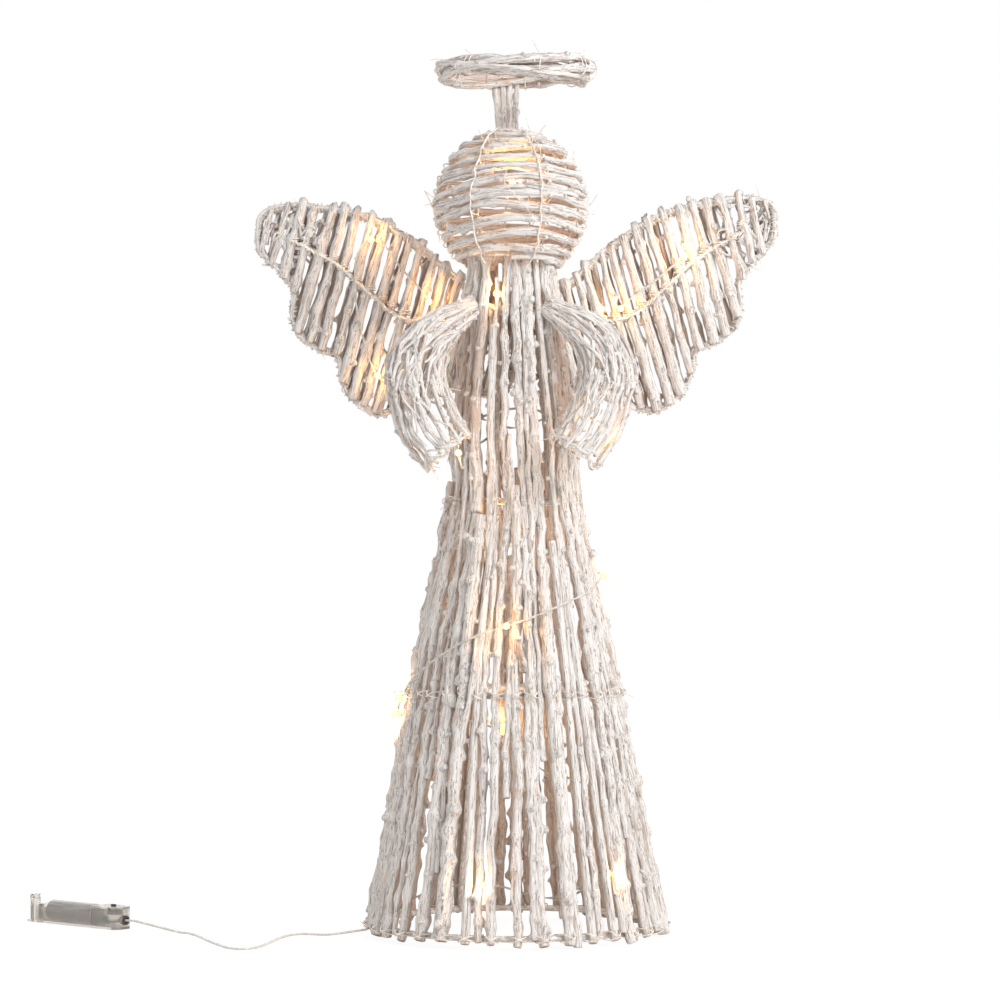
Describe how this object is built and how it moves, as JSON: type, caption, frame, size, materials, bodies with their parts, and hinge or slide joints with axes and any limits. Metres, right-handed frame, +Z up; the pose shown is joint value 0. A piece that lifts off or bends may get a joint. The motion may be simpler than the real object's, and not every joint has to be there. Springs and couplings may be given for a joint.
{
  "type": "lighted twig angel figure",
  "caption": "Free-standing open angel of whitewashed twigs on a wire frame, with wings, halo, a warm light string and a battery box on a short lead.",
  "frame": {"origin": "middle of the ring of stick ends, on the surface the figure stands on", "axes": "+Z up, the figure faces -Y, its left wing as seen from the front is on -X"},
  "size_m": [0.5371, 0.213, 0.6097],
  "materials": {
    "whitewashed_twig": "matte whitewash",
    "painted_wire": "white paint",
    "clear_cable": "clear",
    "clear_plastic": "translucent",
    "dark_plastic": "satin",
    "circuit_board": "satin",
    "cell_sleeve": "gloss sleeve",
    "contact_steel": "plated"
  },
  "bodies": {
    "root": {"skirt_stick_01": "whitewashed_twig", "skirt_stick_02": "whitewashed_twig", "skirt_stick_03": "whitewashed_twig", "skirt_stick_04": "whitewashed_twig", "skirt_stick_05": "whitewashed_twig", "skirt_stick_06": "whitewashed_twig", "skirt_stick_07": "whitewashed_twig", "skirt_stick_08": "whitewashed_twig", "skirt_stick_09": "whitewashed_twig", "skirt_stick_10": "whitewashed_twig", "skirt_stick_11": "whitewashed_twig", "skirt_stick_12": "whitewashed_twig", "skirt_stick_13": "whitewashed_twig", "skirt_stick_14": "whitewashed_twig", "skirt_stick_15": "whitewashed_twig", "skirt_stick_16": "whitewashed_twig", "skirt_stick_17": "whitewashed_twig", "skirt_stick_18": "whitewashed_twig", "skirt_stick_19": "whitewashed_twig", "skirt_stick_20": "whitewashed_twig", "skirt_stick_21": "whitewashed_twig", "skirt_stick_22": "whitewashed_twig", "skirt_stick_23": "whitewashed_twig", "skirt_stick_24": "whitewashed_twig", "skirt_stick_25": "whitewashed_twig", "skirt_stick_26": "whitewashed_twig", "skirt_stick_27": "whitewashed_twig", "skirt_stick_28": "whitewashed_twig", "skirt_stick_29": "whitewashed_twig", "skirt_stick_30": "whitewashed_twig", "skirt_stick_31": "whitewashed_twig", "skirt_stick_32": "whitewashed_twig", "skirt_stick_33": "whitewashed_twig", "skirt_stick_34": "whitewashed_twig", "skirt_stick_35": "whitewashed_twig", "skirt_stick_36": "whitewashed_twig", "wire_frame": "painted_wire", "head_winding": "whitewashed_twig", "head_wires": "painted_wire", "halo_winding": "whitewashed_twig", "halo_post": "whitewashed_twig", "left_wing": "whitewashed_twig", "left_wing_spine": "painted_wire", "right_wing": "whitewashed_twig", "right_wing_spine": "painted_wire", "left_sleeve": "whitewashed_twig", "right_sleeve": "whitewashed_twig", "light_string": "clear_cable", "lead_cable": "clear_cable", "battery_tray": "clear_plastic", "compartment_lid": "clear_plastic", "slide_switch_body": "dark_plastic", "driver_board": "circuit_board", "dry_cell": "cell_sleeve", "spring_contact": "contact_steel", "plate_contact": "contact_steel", "cable_grommet": "dark_plastic"},
    "switch_knob": {"slide_switch_knob": "dark_plastic"}
  },
  "joints": [
    {"name": "switch_slide", "type": "slide", "parent": "root", "child": "switch_knob", "axis": [0.7716, -0.6361, 0], "range_m": [0, 0.003]}
  ]
}
